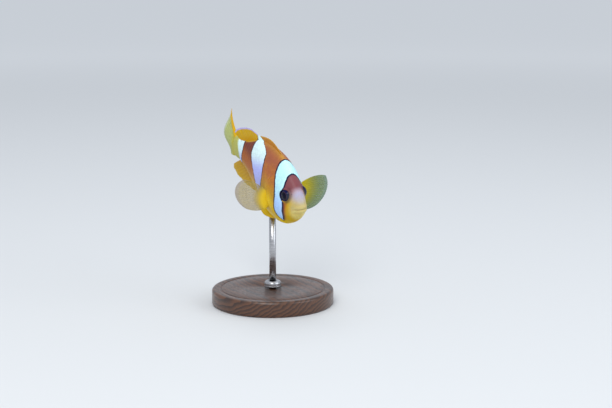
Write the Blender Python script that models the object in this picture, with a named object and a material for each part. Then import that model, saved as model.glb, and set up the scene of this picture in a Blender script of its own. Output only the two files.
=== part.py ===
"""A life-size display model of a young clownfish, nose a little down, on a rod and a round base.

The fish is drawn straight first, in lengths of its body: s runs back from the snout, y to its left and
z up. Each part is shaped there, parted from its neighbours, swung with the tail and then hung from one
empty, which holds the pose on the stand. The world's +X is the way the fish heads and +Z is up.
"""

import math

import bmesh
import bpy
import numpy as np
from mathutils import Euler, Matrix, Vector

# Sizes in metres and angles in degrees.
BODY_LENGTH = 0.050  # snout to the root of the tail fin
GAP = 0.0003  # the thin cut between two parts
FIN_THICKNESS = 0.00056
NOSE_DOWN = 18.6
LEFT_SIDE_UP = 9.2
BASE_RADIUS = 0.0215
BASE_HEIGHT = 0.0055
BASE_EDGE = 0.0009
FOOT_EDGE = 0.0004
ROD_RADIUS = 0.0012
ROD_SINK = 0.0025  # how deep the rod's foot stands in the base
COLLAR_RADIUS = 0.0030
COLLAR_HEIGHT = 0.0022
BELLY_HEIGHT = 0.0330  # where the rod meets the belly, above the floor

# Places along the fish and sizes across it, in body lengths.
CUT = GAP / BODY_LENGTH
ROD_AT = 0.45
STALK_FROM = 0.86
BODY_END = 1.035
MOUTH_TILT = -0.30  # the line between the lips runs down this much for each step back
MOUTH_AT = 0.002
MOUTH_CORNER = 0.052
EYE_AT = (0.129, 0.053, 0.061)
EYE_SIZE = (0.043, 0.035, 0.044)
EYE_FORWARD = 12.0
EYE_UP = 6.0

BACK = [
    (0.0, 0.011), (0.02, 0.056), (0.06, 0.105), (0.12, 0.158), (0.18, 0.199), (0.26, 0.240),
    (0.34, 0.260), (0.43, 0.266), (0.53, 0.254), (0.63, 0.226), (0.73, 0.176), (0.83, 0.124),
    (0.91, 0.099), (BODY_END, 0.100),
]
BELLY = [
    (0.0, -0.010), (0.02, -0.056), (0.06, -0.110), (0.12, -0.162), (0.20, -0.213), (0.30, -0.249),
    (0.41, -0.254), (0.52, -0.228), (0.62, -0.186), (0.72, -0.134), (0.82, -0.091), (0.91, -0.068),
    (BODY_END, -0.068),
]
BREADTH = [
    (0.0, 0.014), (0.02, 0.040), (0.06, 0.057), (0.12, 0.078), (0.20, 0.099), (0.29, 0.109),
    (0.42, 0.104), (0.55, 0.086), (0.70, 0.058), (0.85, 0.034), (0.95, 0.024), (BODY_END, 0.021),
]
WIDEST = [(0.0, 0.0), (0.12, -0.010), (0.30, 0.0), (0.60, 0.012), (BODY_END, 0.015)]
GILL_EDGE = [
    (-0.32, 0.150), (-0.235, 0.168), (-0.16, 0.228), (-0.08, 0.300), (0.0, 0.326), (0.07, 0.318),
    (0.13, 0.290), (0.20, 0.275), (0.34, 0.275),
]
CHEEK_EDGE = [(-0.18, 0.150), (-0.11, 0.196), (0.0, 0.214), (0.13, 0.208)]

# How far the tail end turns to the fish's left, in degrees, over a stretch of its length.
BODY_TURNS = [(0.12, 0.60, -2.0), (0.60, 1.00, -1.0), (0.95, 1.30, 27.5)]

MATERIALS = {
    "orange_flesh": ((0.62, 0.22, 0.05), 0.42, 0.0),
    "yellow_flesh": ((0.78, 0.50, 0.06), 0.42, 0.0),
    "yellow_fin": ((0.80, 0.62, 0.08), 0.38, 0.0),
    "pale_fin": ((0.62, 0.66, 0.30), 0.35, 0.0),
    "dark_eye": ((0.012, 0.012, 0.03), 0.06, 0.0),
    "walnut": ((0.16, 0.085, 0.045), 0.38, 0.0),
    "steel": ((0.58, 0.58, 0.60), 0.28, 1.0),
}


def material(name):
    """The part's finish: a plain Principled surface in its colour."""
    made = bpy.data.materials.get(name)
    if made:
        return made
    colour, roughness, metallic = MATERIALS[name]
    made = bpy.data.materials.new(name)
    made.use_nodes = True
    shader = made.node_tree.nodes["Principled BSDF"]
    shader.inputs["Base Color"].default_value = (*colour, 1.0)
    shader.inputs["Roughness"].default_value = roughness
    shader.inputs["Metallic"].default_value = metallic
    return made


def through(points, at):
    """A smooth curve through a few (place, value) pairs, read at the places asked for."""
    place, value = np.array(points, float).T
    step = np.diff(place)
    slope = np.diff(value) / step
    inner = (slope[:-1] * step[1:] + slope[1:] * step[:-1]) / (step[1:] + step[:-1])
    tangent = np.concatenate((slope[:1], inner, slope[-1:]))
    at = np.asarray(at, float)
    i = np.clip(np.searchsorted(place, at) - 1, 0, len(step) - 1)
    t = np.clip((at - place[i]) / step[i], 0.0, 1.0)
    bend = step[i] * (tangent[i] * t * (1 - t) ** 2 - tangent[i + 1] * t * t * (1 - t))
    return value[i] + (value[i + 1] - value[i]) * t * t * (3 - 2 * t) + bend


def along(points, s):
    """The same, read by the root of s, so that the snout comes out round."""
    return through([(math.sqrt(place), value) for place, value in points], np.sqrt(np.maximum(s, 0.0)))


def eased(low, high, at):
    """0 below low and 1 above high, with a smooth step between."""
    t = np.clip((at - low) / (high - low), 0.0, 1.0)
    return t * t * (3 - 2 * t)


def spot(s, y, z):
    """A place on the straight fish, in metres: x runs forward from the snout."""
    return Vector((-s * BODY_LENGTH, y * BODY_LENGTH, z * BODY_LENGTH))


def skin_point(s, turn):
    """A place on the body's skin: turn goes round the section from the top, towards the left side."""
    level = float(along(WIDEST, s))
    close = math.sqrt(max(0.0, 1 - eased(0.985, BODY_END, s) ** 2))
    up = float(along(BACK, s)) - level
    down = level - float(along(BELLY, s))
    side, rise = math.sin(turn), math.cos(turn)
    y = float(along(BREADTH, s)) * close * side * abs(side) ** 0.12
    return Vector((s, y, level + (up if rise > 0 else down) * close * rise))


def lips(p):
    """The snout with its two lips rolled out above and below the mouth's line."""
    fade = 1 - float(eased(0.045, 0.075, p.x))
    if fade <= 0:
        return p
    above = p.z - MOUTH_AT - MOUTH_TILT * p.x
    roll = 0.008 * math.exp(-(((abs(above) - 0.020) / 0.012) ** 2))
    groove = 0.006 * math.exp(-((above / 0.007) ** 2))
    outward = (p - Vector((0.09, 0.0, -0.02))).normalized()
    return p + outward * (roll - groove) * fade


def add(name, mesh, finish, sharp):
    """Makes a named, finished object, shaded smooth but for edges sharper than the angle."""
    thing = bpy.data.objects.new(name, mesh)
    mesh.materials.clear()
    mesh.materials.append(material(finish))
    mesh.shade_smooth()
    mesh.set_sharp_from_angle(angle=math.radians(sharp))
    bpy.context.scene.collection.objects.link(thing)
    return thing


def solid(bm, name="tool"):
    """Turns the bmesh into a mesh whose faces all point out."""
    bmesh.ops.recalc_face_normals(bm, faces=bm.faces)
    mesh = bpy.data.meshes.new(name)
    bm.to_mesh(mesh)
    bm.free()
    return mesh


def body_mesh(grow=0.0):
    """A ball whose poles are the snout and the tail's end, drawn out to the fish's sections.

    The grown one, which cuts the gaps round the body, stands out from it by that much and has no lips."""
    bm = bmesh.new()
    bmesh.ops.create_uvsphere(bm, u_segments=36, v_segments=40, radius=1.0)
    for v in bm.verts:
        p = skin_point(BODY_END * (1 - v.co.z) / 2, math.atan2(v.co.y, v.co.x))
        v.co = spot(*(p if grow else lips(p)))
    bmesh.ops.recalc_face_normals(bm, faces=bm.faces)
    bm.normal_update()
    for v in bm.verts:
        v.co += v.normal * grow
    return solid(bm)


def prism_mesh(outline, left=0.3, right=-0.3):
    """An outline in s and z, carried across the fish from one y to another."""
    bm = bmesh.new()
    face = bm.faces.new([bm.verts.new(spot(s, right, z)) for s, z in outline])
    raised = bmesh.ops.extrude_face_region(bm, geom=[face])["geom"]
    shift = Vector((0.0, (left - right) * BODY_LENGTH, 0.0))
    bmesh.ops.translate(bm, verts=[g for g in raised if isinstance(g, bmesh.types.BMVert)], vec=shift)
    return solid(bm)


def combined(mesh, tool, operation):
    """The mesh after an exact Boolean with the tool, as a new mesh."""
    scene = bpy.context.scene.collection.objects
    thing, other = (bpy.data.objects.new("work", m) for m in (mesh, tool))
    for o in (thing, other):
        scene.link(o)
    cut = thing.modifiers.new("cut", "BOOLEAN")
    cut.operation, cut.solver, cut.object = operation, "EXACT", other
    seen = thing.evaluated_get(bpy.context.evaluated_depsgraph_get())
    made = bpy.data.meshes.new_from_object(seen)
    for o in (thing, other):
        bpy.data.objects.remove(o)
    return made


def swing(p):
    """Bends a place on the straight fish with its body, which turns in its own level plane."""
    steps = 60
    s = -p.x / BODY_LENGTH
    here = Vector((0.0, 0.0, 0.0))
    places = np.linspace(0.0, max(s, 0.0), steps + 1)
    middles = (places[1:] + places[:-1]) / 2
    heading = np.radians(sum(turn * eased(a, b, middles) for a, b, turn in BODY_TURNS))
    stride = (places[1] - places[0]) * BODY_LENGTH
    here.x = -float(np.cos(heading).sum()) * stride + max(-s, 0.0) * BODY_LENGTH
    here.y = float(np.sin(heading).sum()) * stride
    last = math.radians(float(sum(turn * eased(a, b, s) for a, b, turn in BODY_TURNS)))
    return here + Vector((math.sin(last) * p.y, math.cos(last) * p.y, p.z))


def posed(name, mesh, finish, holder):
    """Names a finished part, bends it with the body and hangs it from the pose."""
    for v in mesh.vertices:
        v.co = swing(v.co)
    add(name, mesh, finish, 38).parent = holder


def gill_line(offset, low=-0.32, high=0.34, count=15):
    """The gill cover's rear edge, from low to high, moved back by the offset."""
    heights = np.linspace(low, high, count)
    return [(float(through(GILL_EDGE, z)) + offset, float(z)) for z in heights]


def jaw_outline(grow=0.0):
    """The lower jaw's side view: below the line of the lips, and ahead of the jaw's corner."""
    line = [(s, MOUTH_AT + MOUTH_TILT * s) for s in (-0.10, MOUTH_CORNER)]
    rear = line + [(0.070, -0.065), (0.083, -0.110), (0.090, -0.300)]
    return [(s + grow, z + grow) for s, z in rear] + [(-0.10, -0.300)]


def gill_cover_outline(grow=0.0):
    """The gill cover's side view, from the cheek's edge to a little past the gill opening."""
    low, high = -0.155 - grow, 0.112 + grow
    heights = np.linspace(low, high, 9)
    front = [(float(through(CHEEK_EDGE, z)) - grow, float(z)) for z in heights]
    return front + gill_line(0.02, low, high, 9)[::-1]


def eyeball_mesh(side, grow=0.0):
    """A flattened ball, turned a little forward and up from straight sideways."""
    bm = bmesh.new()
    bmesh.ops.create_uvsphere(bm, u_segments=16, v_segments=10, radius=1.0)
    s, y, z = EYE_AT
    length, depth, height = ((size + grow) * BODY_LENGTH for size in EYE_SIZE)
    shape = Matrix.Diagonal((length, height, depth, 1.0))
    lie = Matrix.Rotation(math.radians(-90 * side), 4, "X")
    turn = Euler((math.radians(EYE_UP * side), 0.0, math.radians(-EYE_FORWARD * side)))
    place = Matrix.Translation(spot(s, side * y, z)) @ turn.to_matrix().to_4x4() @ lie @ shape
    bmesh.ops.transform(bm, matrix=place, verts=bm.verts)
    return solid(bm)


def body_parts(holder):
    """The head with its jaw and gill covers, the trunk and the tail stalk, out of one body."""
    body = body_mesh()
    half = CUT / 2
    head_cell = [(-0.1, -0.32)] + gill_line(-half) + [(-0.1, 0.34)]
    trunk_cell = gill_line(half)[::-1] + [(STALK_FROM - half, -0.32), (STALK_FROM - half, 0.34)]
    stalk_cell = [(STALK_FROM + half, -0.32), (1.2, -0.32), (1.2, 0.34), (STALK_FROM + half, 0.34)]
    head = combined(body, prism_mesh(head_cell), "INTERSECT")
    for side in (-1, 1):
        head = combined(head, eyeball_mesh(side, CUT), "DIFFERENCE")
    jaw = combined(head, prism_mesh(jaw_outline()), "INTERSECT")
    head = combined(head, prism_mesh(jaw_outline(CUT)), "DIFFERENCE")
    for side, name in ((1, "left"), (-1, "right")):
        inner, outer = 0.062 * side, 0.3 * side
        cover = prism_mesh(gill_cover_outline(), inner, outer)
        pocket = prism_mesh(gill_cover_outline(CUT), inner - CUT * side, outer)
        posed(f"gill_cover_{name}", combined(head, cover, "INTERSECT"), "orange_flesh", holder)
        head = combined(head, pocket, "DIFFERENCE")
        posed(f"eye_{name}", eyeball_mesh(side), "dark_eye", holder)
    posed("head", head, "orange_flesh", holder)
    posed("lower_jaw", jaw, "yellow_flesh", holder)
    posed("trunk", combined(body, prism_mesh(trunk_cell), "INTERSECT"), "orange_flesh", holder)
    posed("tail_stalk", combined(body, prism_mesh(stalk_cell), "INTERSECT"), "yellow_flesh", holder)


def fin(name, place, rays, joints, finish, holder, root=2.0, cutter=None):
    """A fin from place(across, out): across runs from its first ray to its last, out from root to edge.

    The sheet is thickened to root times the fin's thickness at its root and once at its edge, and what
    would stand in the body is cut away with the thin cut between them."""
    bm = bmesh.new()
    bmesh.ops.create_grid(bm, x_segments=rays, y_segments=joints, size=0.5)
    shares = [(v.co.x + 0.5, v.co.y + 0.5) for v in bm.verts]
    for v, (across, out) in zip(bm.verts, shares):
        v.co = spot(*place(across, out))
    mesh = bpy.data.meshes.new(name)
    bm.to_mesh(mesh)
    bm.free()
    sheet = bpy.data.objects.new(name + "_sheet", mesh)
    bpy.context.scene.collection.objects.link(sheet)
    group = sheet.vertex_groups.new(name="root")
    for index, (_, out) in enumerate(shares):
        group.add([index], (1 - out) ** 2, "REPLACE")
    wall = sheet.modifiers.new("thickness", "SOLIDIFY")
    wall.thickness, wall.offset = FIN_THICKNESS * root, 0.0
    wall.vertex_group, wall.thickness_vertex_group = group.name, 1 / root
    seen = sheet.evaluated_get(bpy.context.evaluated_depsgraph_get())
    thick = bpy.data.meshes.new_from_object(seen)
    bpy.data.objects.remove(sheet)
    bm = bmesh.new()
    bm.from_mesh(thick)
    thick = solid(bm)
    posed(name, combined(thick, cutter, "DIFFERENCE"), finish, holder)


def ray_fin(root, edge, curve=0.0):
    """A fin in the fish's middle plane: each ray runs from the root's line to the edge's line.

    root and edge give (s, z) for a share across; curve bows the rays back."""

    def place(across, out):
        a, b = root(across), edge(across)
        bow = curve * out * (1 - out)
        return a[0] + (b[0] - a[0]) * out + bow, 0.0, a[1] + (b[1] - a[1]) * out

    return place


def line_through(points):
    """Turns a few (s, z) points into a function of the share along them."""
    shares = np.linspace(0.0, 1.0, len(points))
    s, z = zip(*points)
    return lambda t: (float(through(list(zip(shares, s)), t)), float(through(list(zip(shares, z)), t)))


def back_root(first, last, depth):
    """A root line sunk into the back, from one place along the fish to another."""
    return lambda t: (first + (last - first) * t, float(along(BACK, first + (last - first) * t)) - depth)


def belly_root(first, last, depth):
    """A root line sunk into the belly, from one place along the fish to another."""
    return lambda t: (first + (last - first) * t, float(along(BELLY, first + (last - first) * t)) + depth)


def median_fins(cutter, holder):
    """The folded spiny dorsal, the raised soft dorsal, the anal fin and the tail fin."""
    spiny_edge = line_through(
        [(0.325, 0.272), (0.395, 0.295), (0.460, 0.304), (0.525, 0.295), (0.590, 0.276), (0.652, 0.253)]
    )
    fin("dorsal_fin_spiny", ray_fin(back_root(0.300, 0.630, 0.02), spiny_edge), 16, 4, "orange_flesh",
        holder, 2.4, cutter)
    soft_edge = line_through(
        [(0.668, 0.252), (0.730, 0.258), (0.800, 0.246), (0.870, 0.219), (0.940, 0.184), (0.995, 0.146),
         (1.015, 0.116)]
    )
    fin("dorsal_fin_soft", ray_fin(back_root(0.640, 0.905, 0.02), soft_edge, 0.02), 18, 5, "yellow_fin",
        holder, 1.8, cutter)
    anal_edge = line_through(
        [(0.655, -0.196), (0.735, -0.220), (0.825, -0.229), (0.915, -0.226), (0.990, -0.214),
         (1.040, -0.192), (1.055, -0.166)]
    )
    fin("anal_fin", ray_fin(belly_root(0.625, 0.900, 0.02), anal_edge, 0.02), 16, 5, "yellow_fin", holder,
        1.8, cutter)
    fin("tail_fin", tail_place, 22, 7, "pale_fin", holder, 1.6, cutter)


def tail_place(across, out):
    """The tail fin: rays spread from the stalk to a shallow fork. Its two lobes cup to the left, and the
    upper one's rays bow that way too."""
    side = 2 * across - 1
    root_s, root_z = 0.985, 0.016 + 0.078 * side
    edge_s = 1.225 + 0.048 * abs(side) ** 1.6 - 0.015 * abs(side) ** 6
    edge_z = 0.014 + 0.180 * side
    cup = 0.112 * (0.58 * math.tanh(side * side / 0.5) - 0.285) * out * out
    bow = 0.015 * max(side, 0.0) * math.sin(math.pi * out)
    return root_s + (edge_s - root_s) * out, cup + bow, root_z + (edge_z - root_z) * out**0.9


PECTORAL_ROOT = (0.318, 0.088, -0.072)
# Each side's sign, how far its fin stands off the body, how its middle ray rises, how wide its rays fan,
# how long they are and how much longer the upper ones are.
PECTORAL = {"left": (1, 86.0, -20.0, 60.0, 0.303, 0.18), "right": (-1, 52.0, 6.0, 58.0, 0.252, 0.05)}


def pectoral_place(side, off, rise, spread, length, upper):
    """A pectoral fin, a rounded paddle: its rays leave a short upright root and bend to lie together."""
    off, rise = math.radians(off), math.radians(rise)

    def place(across, out):
        fan = 1 - 2 * across
        angle = rise + math.radians(spread * fan) * (1 - 0.60 * out)
        root_s, root_y, root_z = PECTORAL_ROOT
        reach = length * (1 - 0.22 * fan * fan + upper * fan) * out
        flat, high = math.cos(angle) * reach, math.sin(angle) * reach
        bow = 0.10 * flat * out
        s = root_s + flat * math.cos(off) + bow * math.sin(off)
        y = root_y + flat * math.sin(off) - bow * math.cos(off)
        return s, side * y, root_z + 0.036 * fan + high

    return place


def pelvic_place(side):
    """A pelvic fin, folded back close under the belly and splayed a little."""

    def place(across, out):
        root_s, root_y, root_z = 0.318 + 0.040 * across, 0.040 - 0.012 * across, -0.226
        angle = math.radians(-17 + 26 * across)
        reach = (0.215 - 0.060 * across) * (1 - 0.30 * (2 * across - 1) ** 2) * out
        s = root_s + math.cos(angle) * reach
        z = root_z + math.sin(angle) * reach - 0.030 * out * (1 - out)
        return s, side * (root_y + 0.115 * reach), z

    return place


def paired_fins(cutter, holder):
    """The spread pectoral fins and the folded pelvic fins."""
    for name, (side, off, rise, spread, length, upper) in PECTORAL.items():
        paddle = pectoral_place(side, off, rise, spread, length, upper)
        fin(f"pectoral_fin_{name}", paddle, 14, 6, "pale_fin", holder, 2.2, cutter)
        fin(f"pelvic_fin_{name}", pelvic_place(side), 8, 5, "yellow_fin", holder, 1.8, cutter)


def turned(name, profile, finish, steps=48):
    """A round piece: a profile of (radius, height) from top to foot, spun round the stand's axis."""
    bm = bmesh.new()
    ring = [bm.verts.new((radius, 0.0, height)) for radius, height in profile]
    edges = [bm.edges.new(pair) for pair in zip(ring, ring[1:])]
    bmesh.ops.spin(bm, geom=ring + edges, axis=(0, 0, 1), cent=(0, 0, 0), angle=math.tau, steps=steps,
                   use_merge=True)
    bmesh.ops.remove_doubles(bm, verts=bm.verts, dist=1e-6)
    return add(name, solid(bm), finish, 30)


def rounded(outer, top, radius):
    """A quarter round between a piece's top and its side, as profile points."""
    angles = np.linspace(0.0, math.pi / 2, 4)
    return [(outer - radius + radius * math.sin(a), top - radius + radius * math.cos(a)) for a in angles]


def stand(holder):
    """The round base, the collar on it and the rod, whose top fits the belly with the thin cut."""
    well = ROD_RADIUS + GAP
    well_floor = BASE_HEIGHT - ROD_SINK
    base = [(0.0, well_floor), (well, well_floor), (well, BASE_HEIGHT)]
    base += rounded(BASE_RADIUS, BASE_HEIGHT, BASE_EDGE)
    base += [(BASE_RADIUS, FOOT_EDGE), (BASE_RADIUS - FOOT_EDGE, 0.0), (0.0, 0.0)]
    turned("stand_base", base, "walnut", 48)
    low, high = BASE_HEIGHT + GAP, BASE_HEIGHT + GAP + COLLAR_HEIGHT
    collar = [(well, high)] + rounded(COLLAR_RADIUS, high, COLLAR_HEIGHT * 0.4)
    collar += [(COLLAR_RADIUS, low), (well, low), (well, high)]
    turned("stand_collar", collar, "steel", 24)
    low, high = well_floor + GAP, BELLY_HEIGHT + 2 * ROD_RADIUS
    rod = turned("stand_rod", [(0.0, high), (ROD_RADIUS, high), (ROD_RADIUS, low), (0.0, low)], "steel", 20)
    body = body_mesh(grow=GAP)
    for v in body.vertices:
        v.co = holder.matrix_world @ swing(v.co)
    rod.data = combined(rod.data, body, "DIFFERENCE")
    rod.data.shade_smooth()
    rod.data.set_sharp_from_angle(angle=math.radians(30))


def main():
    """Clears the scene, sets the pose over the stand and makes every part."""
    for thing in list(bpy.data.objects):
        bpy.data.objects.remove(thing)
    holder = bpy.data.objects.new("fish_pose", None)
    bpy.context.scene.collection.objects.link(holder)
    holder.rotation_euler = (math.radians(LEFT_SIDE_UP), math.radians(NOSE_DOWN), 0.0)
    belly = swing(spot(ROD_AT, 0.0, float(along(BELLY, ROD_AT))))
    holder.location = Vector((0.0, 0.0, BELLY_HEIGHT)) - holder.rotation_euler.to_matrix() @ belly
    bpy.context.view_layer.update()
    body_parts(holder)
    cutter = body_mesh(grow=GAP)
    median_fins(cutter, holder)
    paired_fins(cutter, holder)
    stand(holder)


main()
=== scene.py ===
"""Looks for the clownfish display model: skin, scales, fins, eyes and the turned stand.

The fish is worked out straight, in lengths of its body: s runs back from the snout, y to its left and
z up. pose() swings those places with the tail, tips the fish and sets it over the stand, in metres.
"""

import math

import bpy
import numpy as np
from mathutils import Euler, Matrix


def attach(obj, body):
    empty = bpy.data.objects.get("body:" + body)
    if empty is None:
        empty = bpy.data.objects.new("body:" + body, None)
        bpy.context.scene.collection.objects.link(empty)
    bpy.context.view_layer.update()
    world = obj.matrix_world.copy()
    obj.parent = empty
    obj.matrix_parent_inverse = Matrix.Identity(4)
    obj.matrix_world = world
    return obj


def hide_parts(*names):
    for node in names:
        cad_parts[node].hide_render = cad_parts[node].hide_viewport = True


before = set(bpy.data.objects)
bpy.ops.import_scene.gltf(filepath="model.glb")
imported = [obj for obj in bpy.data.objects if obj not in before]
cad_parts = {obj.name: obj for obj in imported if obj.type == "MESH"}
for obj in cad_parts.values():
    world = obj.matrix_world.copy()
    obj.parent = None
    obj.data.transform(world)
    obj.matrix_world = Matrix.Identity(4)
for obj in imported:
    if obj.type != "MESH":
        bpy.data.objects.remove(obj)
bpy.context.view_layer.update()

# -------- sizes, as in the solids
BODY_LENGTH = 0.050
NOSE_DOWN = 18.6
LEFT_SIDE_UP = 9.2
BASE_RADIUS = 0.0215
BASE_HEIGHT = 0.0055
ROD_RADIUS = 0.0012
ROD_SINK = 0.0025
COLLAR_RADIUS = 0.0030
COLLAR_HEIGHT = 0.0022
GAP = 0.0003
BELLY_HEIGHT = 0.0330
ROD_AT = 0.45
BODY_END = 1.035
MOUTH_TILT = -0.30
MOUTH_AT = 0.002
EYE_AT = (0.129, 0.053, 0.061)
EYE_SIZE = (0.043, 0.035, 0.044)
EYE_FORWARD = 12.0
EYE_UP = 6.0
BACK = [
    (0.0, 0.011), (0.02, 0.056), (0.06, 0.105), (0.12, 0.158), (0.18, 0.199), (0.26, 0.240),
    (0.34, 0.260), (0.43, 0.266), (0.53, 0.254), (0.63, 0.226), (0.73, 0.176), (0.83, 0.124),
    (0.91, 0.099), (BODY_END, 0.100),
]
BELLY = [
    (0.0, -0.010), (0.02, -0.056), (0.06, -0.110), (0.12, -0.162), (0.20, -0.213), (0.30, -0.249),
    (0.41, -0.254), (0.52, -0.228), (0.62, -0.186), (0.72, -0.134), (0.82, -0.091), (0.91, -0.068),
    (BODY_END, -0.068),
]
BREADTH = [
    (0.0, 0.014), (0.02, 0.040), (0.06, 0.057), (0.12, 0.078), (0.20, 0.099), (0.29, 0.109),
    (0.42, 0.104), (0.55, 0.086), (0.70, 0.058), (0.85, 0.034), (0.95, 0.024), (BODY_END, 0.021),
]
WIDEST = [(0.0, 0.0), (0.12, -0.010), (0.30, 0.0), (0.60, 0.012), (BODY_END, 0.015)]
GILL_EDGE = [
    (-0.32, 0.150), (-0.235, 0.168), (-0.16, 0.228), (-0.08, 0.300), (0.0, 0.326), (0.07, 0.318),
    (0.13, 0.290), (0.20, 0.275), (0.34, 0.275),
]
CHEEK_EDGE = [(-0.18, 0.150), (-0.11, 0.196), (0.0, 0.214), (0.13, 0.208)]
BODY_TURNS = [(0.12, 0.60, -2.0), (0.60, 1.00, -1.0), (0.95, 1.30, 27.5)]
PECTORAL_ROOT = (0.318, 0.088, -0.072)
# Each pectoral fin: side, degrees off the flank, degrees of rise, half spread, length, longer upper rays.
PECTORAL = {"left": (1, 86.0, -20.0, 60.0, 0.303, 0.18), "right": (-1, 52.0, 6.0, 58.0, 0.252, 0.05)}

# -------- sizes of the finer forms
COAT = 0.0012  # how deep the skin lies under the hull and its folds, in body lengths
SKIN_RINGS, FRONT_RINGS, SKIN_AROUND = 380, 8, 252
SCALE_ROWS = 27
SCALES_FROM, SCALES_TO = 0.172, 1.0
SCALE_STEPS = [(0.17, 0.0105), (0.32, 0.0165), (0.50, 0.0200), (0.80, 0.0165), (1.0, 0.0120)]
GILL_BARE = (-0.019, 0.017)  # the bare band ahead of the gill cover's edge and behind it
GILL_BARE_HEIGHTS = (-0.205, 0.135)
RIDGE_BARE = 0.035  # the share of the way round that stays bare along the back and the belly
SCALE_POINTS = 5  # along and across one scale
SCALE_LENGTH = 1.75  # in steps between two columns
SCALE_HALF_WIDTH = 0.56  # in rows
SCALE_THICK = 0.0011
SCALE_LIFT = 0.0026  # from root to rear edge
SCALE_CREASE = 50.0  # a scale's rim is drawn crisp, its face smooth
RAY_POINTS, FIN_STEPS = 12, 44  # across each ray, and along it
EYE_RINGS, EYE_AROUND = 44, 72
EYE_RAISED = 0.05  # how much deeper the eye is at the middle of its clear front
STAND_AROUND = 192
SOCKET_AT = (EYE_AT[0] + 0.003, 0.0, EYE_AT[2])  # the middle of the eye's opening, seen from the side
EYE_RIM = (0.0420, 0.0380)  # off that middle, where the dark rim begins and where it is full
EYE_TO_BAR = 0.0405  # the head bar keeps this far off it
RANDOM = np.random.default_rng(7)

# Where the white bars' front and rear edges run: (height, place along the fish).
HEAD_BAR = (
    [(-0.18, 0.21), (-0.16, 0.18), (-0.13, 0.165), (-0.08, 0.155), (-0.01, 0.145), (0.06, 0.16),
     (0.13, 0.16), (0.18, 0.17), (0.26, 0.18)],
    [(-0.18, 0.135), (-0.15, 0.19), (-0.13, 0.215), (-0.10, 0.23), (-0.05, 0.225), (0.03, 0.22),
     (0.08, 0.225), (0.13, 0.24), (0.17, 0.255), (0.26, 0.275)],
)
MID_BAR = (
    [(-0.18, 0.51), (-0.12, 0.455), (-0.03, 0.44), (0.08, 0.425), (0.15, 0.43), (0.20, 0.44),
     (0.23, 0.46), (0.24, 0.49), (0.25, 0.57), (0.26, 0.625), (0.30, 0.655)],
    [(-0.18, 0.45), (-0.12, 0.50), (-0.03, 0.545), (0.02, 0.575), (0.07, 0.62), (0.11, 0.65),
     (0.17, 0.66), (0.22, 0.655), (0.30, 0.675)],
)
# The tail bar has no rear line: it fades into the end of the stalk along TAIL_FADE.
TAIL_BAR = (
    [(-0.10, 0.885), (0.0, 0.86), (0.06, 0.845), (0.12, 0.845)],
    [(-0.10, 1.10), (0.12, 1.10)],
)
TAIL_FADE = [(-0.10, 0.90), (0.0, 0.905), (0.06, 0.93), (0.12, 0.95)]
# The depths where a bar's dark line begins and is full, outside the white, and half the white's soft edge.
LINE_FROM, LINE_FULL, WHITE_SOFT = -0.0125, -0.0085, 0.0012


# -------- curves and the pose
def through(points, at):
    """A smooth curve through (place, value) pairs: on each span a cubic that leaves and arrives at the
    weighted mean slope of its neighbours."""
    place, value = np.array(points, float).T
    step = np.diff(place)
    slope = np.diff(value) / step
    inner = (slope[:-1] * step[1:] + slope[1:] * step[:-1]) / (step[1:] + step[:-1])
    tangent = np.concatenate((slope[:1], inner, slope[-1:]))
    at = np.asarray(at, float)
    i = np.clip(np.searchsorted(place, at) - 1, 0, len(step) - 1)
    t = np.clip((at - place[i]) / step[i], 0.0, 1.0)
    bend = step[i] * (tangent[i] * t * (1 - t) ** 2 - tangent[i + 1] * t * t * (1 - t))
    return value[i] + (value[i + 1] - value[i]) * t * t * (3 - 2 * t) + bend


def along(points, s):
    """The same curve read by the root of s, so that the snout comes out round."""
    return through([(math.sqrt(place), value) for place, value in points], np.sqrt(np.maximum(s, 0.0)))


def eased(low, high, at):
    """0 below low and 1 above high, with a smooth cubic step between."""
    t = np.clip((at - low) / (high - low), 0.0, 1.0)
    return t * t * (3 - 2 * t)


def hill(x, middle, width):
    """A bell of height 1: e to the minus square of the distance over the width."""
    return np.exp(-(((x - middle) / width) ** 2))


def spine_line():
    """The bent middle line, at each thousandth of the body's length: the heading is a sum of eased turns,
    and the line is its running sum."""
    s = np.linspace(0.0, 1.4, 1401)
    heading = np.radians(sum(turn * eased(a, b, s) for a, b, turn in BODY_TURNS))
    middle = (heading[1:] + heading[:-1]) / 2
    ahead = np.concatenate(([0.0], -np.cumsum(np.cos(middle)) * s[1]))
    aside = np.concatenate(([0.0], np.cumsum(np.sin(middle)) * s[1]))
    return s, heading, ahead, aside


SPINE = spine_line()


def swing(p):
    """A place on the straight fish, moved to the bent middle line and turned with its heading."""
    s, y, z = p[..., 0], p[..., 1], p[..., 2]
    marks, heading, ahead, aside = SPINE
    turn = np.interp(s, marks, heading)
    x = np.interp(s, marks, ahead) + np.maximum(-s, 0.0) + np.sin(turn) * y
    return np.stack((x, np.interp(s, marks, aside) + np.cos(turn) * y, z), -1) * BODY_LENGTH


TIP = np.array(Euler((math.radians(LEFT_SIDE_UP), math.radians(NOSE_DOWN), 0.0)).to_matrix())
ROD_MEETS = swing(np.array([ROD_AT, 0.0, float(along(BELLY, ROD_AT))]))
SHIFT = np.array([0.0, 0.0, BELLY_HEIGHT]) - TIP @ ROD_MEETS


def pose(p):
    """The straight fish's place in the world, in metres: swung, tipped, then lifted over the rod."""
    return swing(p) @ TIP.T + SHIFT


# -------- meshes from arrays
def circle(count):
    """Equal turns of a full circle, as one row."""
    return np.linspace(0.0, 2 * np.pi, count, endpoint=False)[None, :]


def unit(v):
    """Each vector over its own length."""
    return v / np.maximum(np.linalg.norm(v, axis=-1, keepdims=True), 1e-12)


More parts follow.
